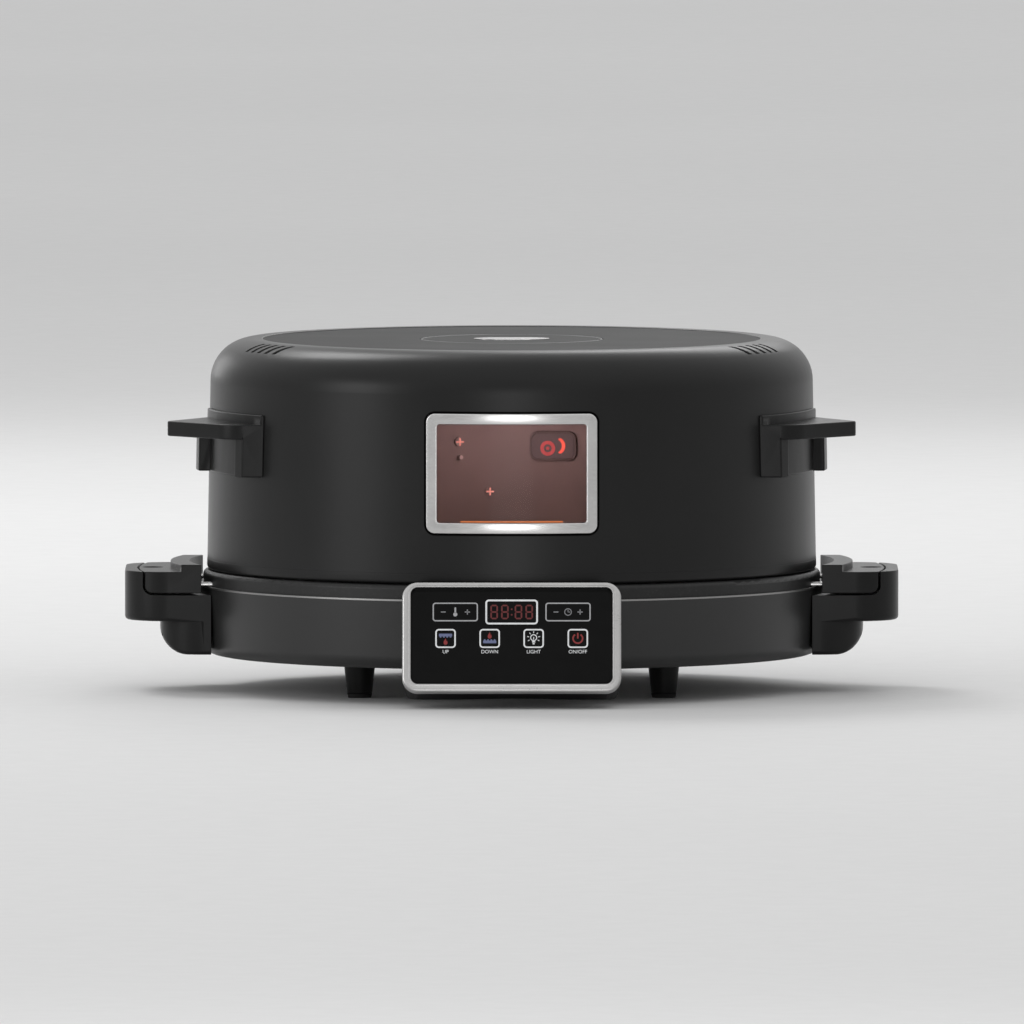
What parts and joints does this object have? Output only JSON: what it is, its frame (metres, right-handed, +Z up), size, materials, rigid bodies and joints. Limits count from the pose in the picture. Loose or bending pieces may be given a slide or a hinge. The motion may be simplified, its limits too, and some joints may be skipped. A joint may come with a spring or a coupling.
{
  "type": "electric pizza oven",
  "caption": "Round countertop pizza oven: a drum lid with a window hinged on a low base, with side handles and a tilted touch panel in front.",
  "frame": {"origin": "on the standing surface, under the axis of the drum", "axes": "+X to the right of someone facing the panel, +Y to the back, +Z up; the panel faces -Y"},
  "size_m": [0.472, 0.432, 0.2144],
  "materials": {
    "body_paint": "satin black coat with a fine grain",
    "bottom_paint": "matt black coat",
    "pan_coat": "dark non-stick coat",
    "baking_stone": "unglazed, sandy",
    "liner_steel": "dull sheet",
    "trim_steel": "brushed",
    "element_steel": "dark oxidised tube",
    "fitting_steel": "plain",
    "screw_steel": "plain",
    "hinge_paint": "satin dark coat",
    "handle_plastic": "matt black, fine grain",
    "housing_plastic": "matt black",
    "bezel_plastic": "silver, satin",
    "panel_black": "black printed back",
    "display_red": "dark red filter",
    "board_green": "solder mask",
    "pin_brass": "plain",
    "pad_rubber": "matt black",
    "block_ceramic": "unglazed",
    "insulation_wool": "loose mat",
    "window_tint": "tinted, clear",
    "lamp_glass": "clear"
  },
  "bodies": {
    "base": {"base_shell": "body_paint", "base_bottom_plate": "bottom_paint", "bottom_screws": "screw_steel", "foot_front_left": "handle_plastic", "foot_front_right": "handle_plastic", "foot_rear_left": "handle_plastic", "foot_rear_right": "handle_plastic", "foot_pads": "pad_rubber", "trim_ring": "trim_steel", "base_liner": "liner_steel", "lower_heating_element": "element_steel", "lower_terminal_block": "block_ceramic", "lower_element_clips": "fitting_steel", "lower_temperature_sensor": "fitting_steel", "power_board": "board_green", "baking_pan": "pan_coat", "pizza_stone": "baking_stone", "base_handle_left": "handle_plastic", "base_handle_right": "handle_plastic", "base_handle_screws": "screw_steel", "pan_handle_left": "handle_plastic", "pan_handle_right": "handle_plastic", "pan_handle_rods": "trim_steel", "panel_housing": "housing_plastic", "panel_bezel": "bezel_plastic", "panel_glass": "panel_black", "display_module": "display_red", "control_board": "board_green", "housing_screws": "screw_steel", "rear_housing": "housing_plastic", "power_inlet": "housing_plastic", "inlet_pins": "pin_brass", "hinge_base_bracket": "hinge_paint", "hinge_pin": "fitting_steel", "hinge_base_screws": "screw_steel"},
    "lid": {"lid_shell": "body_paint", "lid_top_cover": "body_paint", "top_badge": "trim_steel", "lid_liner": "liner_steel", "lid_rim_ring": "liner_steel", "lid_insulation": "insulation_wool", "upper_heating_element": "element_steel", "upper_terminal_block": "block_ceramic", "upper_element_clips": "fitting_steel", "upper_temperature_sensor": "fitting_steel", "window_frame": "trim_steel", "window_glass": "window_tint", "window_gasket": "pad_rubber", "window_retainer": "liner_steel", "window_tunnel": "liner_steel", "lamp_housing": "hinge_paint", "lamp_bulb": "lamp_glass", "lamp_lens": "lamp_glass", "liner_screws": "screw_steel", "lid_handle_left": "handle_plastic", "lid_handle_right": "handle_plastic", "lid_handle_screws": "screw_steel", "hinge_lid_bracket": "hinge_paint", "hinge_lid_screws": "screw_steel"}
  },
  "joints": [
    {"name": "lid_hinge", "type": "hinge", "parent": "base", "child": "lid", "pos_m": [0, 0.203, 0.07], "axis": [-1, 0, 0], "range_deg": [0, 75]}
  ]
}
